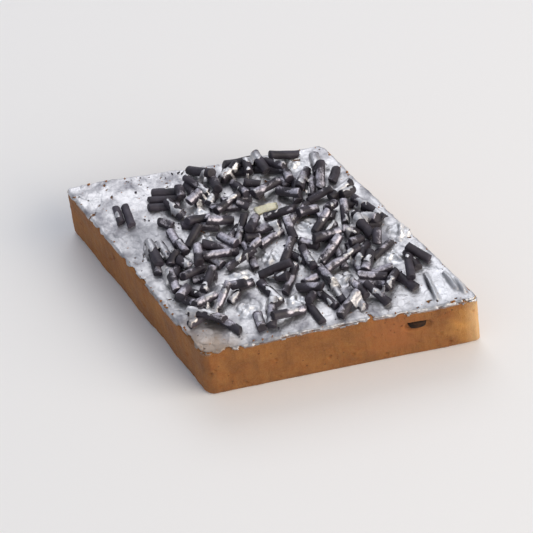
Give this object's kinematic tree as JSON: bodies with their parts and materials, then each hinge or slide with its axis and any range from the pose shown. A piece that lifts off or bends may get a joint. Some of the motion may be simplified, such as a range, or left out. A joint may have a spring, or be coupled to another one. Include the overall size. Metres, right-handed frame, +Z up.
{
  "type": "diamond-cut barfi",
  "caption": "Diamond-cut slab of brown milk fudge, silver leaf on its top and chocolate sprinkles scattered over the leaf.",
  "frame": {"origin": "middle of the footprint, on the surface the slab lies on", "axes": "+X along the long diagonal towards the right pointed corner, +Y towards the back blunt corner, +Z up through the sprinkled top"},
  "size_m": [0.0702, 0.0456, 0.0129],
  "materials": {
    "fudge": "cut face of dense cooked milk fudge, fine grained, slightly moist",
    "silver_leaf": "beaten edible silver leaf, crinkled and torn at the edges",
    "chocolate": "dark chocolate strands with a dull gloss",
    "nut": "split pale nut, dry and matte"
  },
  "bodies": {
    "root": {"barfi": "fudge"}
  },
  "joints": []
}
